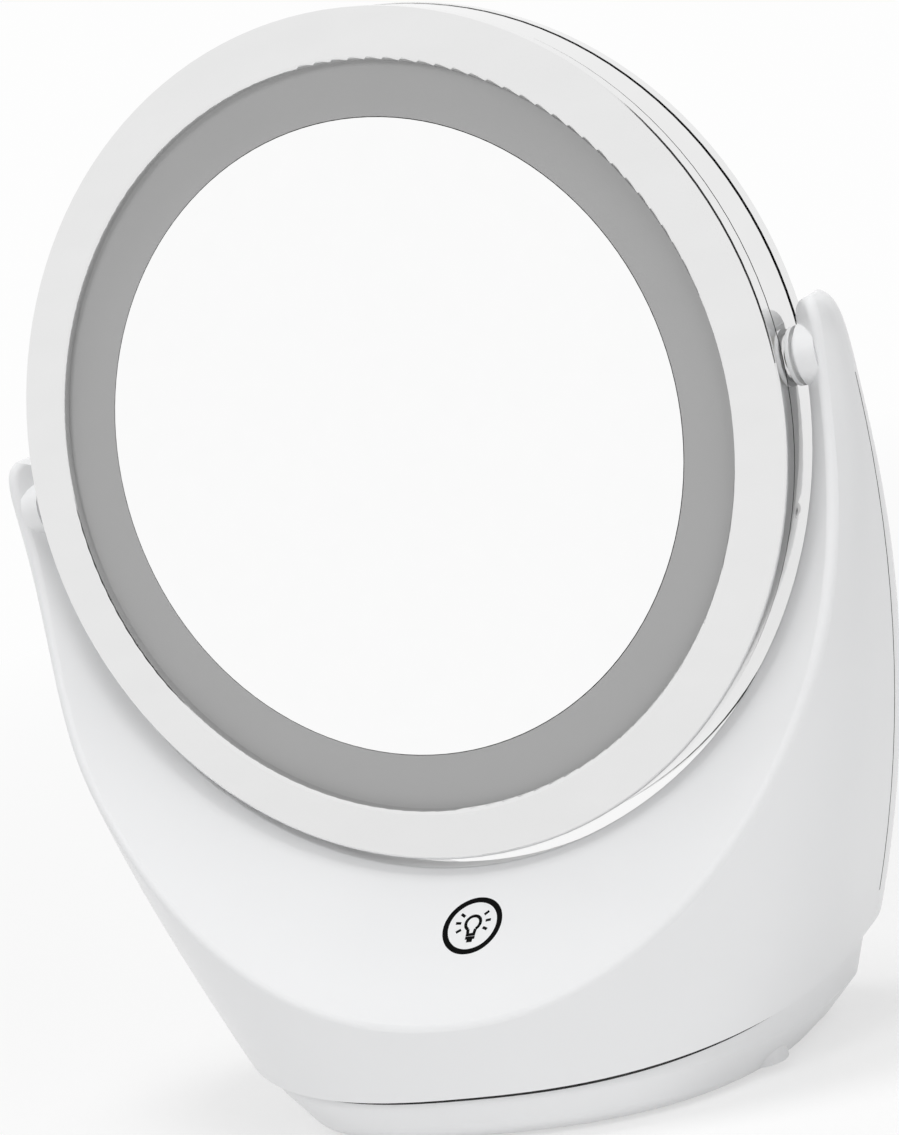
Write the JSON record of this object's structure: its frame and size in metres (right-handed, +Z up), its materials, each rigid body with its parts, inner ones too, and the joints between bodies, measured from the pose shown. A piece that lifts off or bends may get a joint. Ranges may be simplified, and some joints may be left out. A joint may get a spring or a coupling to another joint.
{
  "type": "lighted vanity mirror",
  "caption": "Double-sided round vanity mirror with frosted light bands and chrome bezels, tilting on an axle between the arms of a white U-shaped battery base with a touch switch.",
  "frame": {"origin": "centre of the bounding box's footprint, at the height the rubber feet stand on", "axes": "+Z up, front of the mirror and its touch switch face -Y, the head's axle runs along X"},
  "size_m": [0.226, 0.089, 0.2565],
  "materials": {
    "white_shell": "glossy white ABS",
    "white_tray": "glossy white ABS",
    "chrome_ring": "bright chrome plate",
    "mirror_glass": "silvered glass",
    "opal_band": "frosted acrylic",
    "white_inner": "matt white reflector plastic",
    "bush_plastic": "natural acetal",
    "steel": "zinc plated",
    "nickel": "nickel plated spring steel",
    "rubber_foot": "matt soft rubber",
    "cell_case": "plain printed cell jacket",
    "board_green": "solder mask",
    "chip_black": "moulded epoxy",
    "led_white": "LED package",
    "copper": "bare copper",
    "lead_black": "PVC insulation"
  },
  "bodies": {
    "base": {"front_shell": "white_shell", "rear_shell": "white_shell", "base_tray": "white_tray", "rubber_feet": "rubber_foot", "tray_screws": "steel", "shell_screws": "steel", "aa_cells": "cell_case", "battery_bay": "white_inner", "contact_springs": "nickel", "touch_pad": "copper", "control_board": "board_green", "board_parts": "chip_black", "board_screws": "steel", "right_bush": "bush_plastic", "left_bush": "bush_plastic", "right_washer": "steel", "left_washer": "steel", "lamp_lead": "lead_black", "battery_lead": "lead_black"},
    "head": {"front_bezel": "chrome_ring", "rear_bezel": "chrome_ring", "head_rim": "chrome_ring", "front_mirror": "mirror_glass", "rear_mirror": "mirror_glass", "front_light_band": "opal_band", "rear_light_band": "opal_band", "mirror_carrier": "white_inner", "front_led_board": "board_green", "rear_led_board": "board_green", "front_leds": "led_white", "rear_leds": "led_white", "right_trunnion": "white_tray", "left_trunnion": "white_tray", "right_clip": "steel", "left_clip": "steel", "head_lead": "lead_black"},
    "door": {"battery_door": "white_tray"}
  },
  "joints": [
    {"name": "head_tilt", "type": "hinge", "parent": "base", "child": "head", "pos_m": [0, 0.013, 0.156], "axis": [1, 0, 0], "range_deg": [-180, 180]},
    {"name": "door_slide", "type": "slide", "parent": "base", "child": "door", "axis": [0, 1, 0], "range_m": [0, 0.06]}
  ]
}
